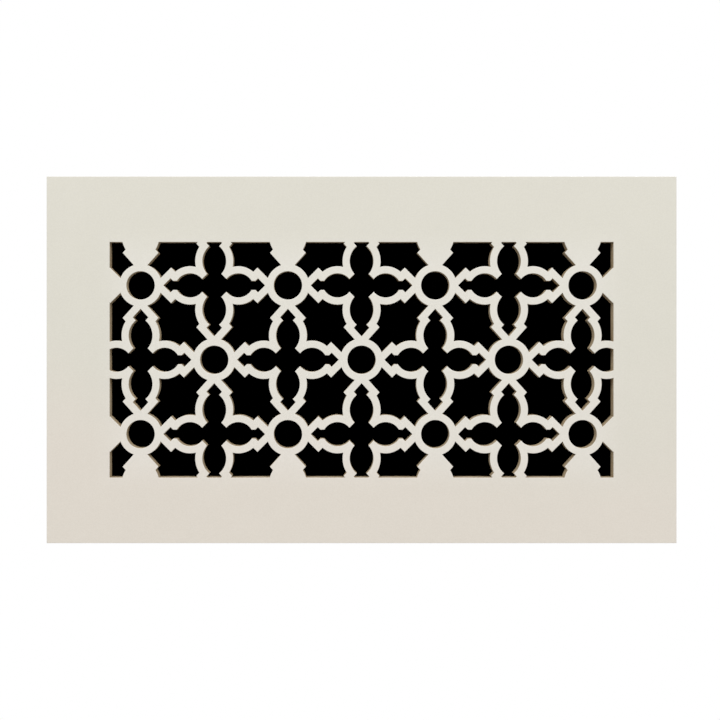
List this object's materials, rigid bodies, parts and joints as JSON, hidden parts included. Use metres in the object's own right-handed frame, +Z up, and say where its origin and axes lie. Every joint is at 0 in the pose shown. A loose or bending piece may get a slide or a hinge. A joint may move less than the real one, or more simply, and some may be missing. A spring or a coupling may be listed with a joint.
{
  "type": "decorative vent cover",
  "caption": "Flat rectangular vent cover, cut from one painted board, with a plain border around a pierced field of rings and four-armed straps.",
  "frame": {"origin": "middle of the top rail's back, on the plane of the wall that the panel is fixed to", "axes": "+X along the panel's width, +Y into the wall (the painted front faces -Y), +Z up"},
  "size_m": [0.3556, 0.0063, 0.207],
  "materials": {
    "painted_board": "eggshell off-white paint on the front, raw brown fibreboard on the cut walls, the edges and the back"
  },
  "bodies": {
    "root": {"vent_cover_panel": "painted_board"}
  },
  "joints": []
}
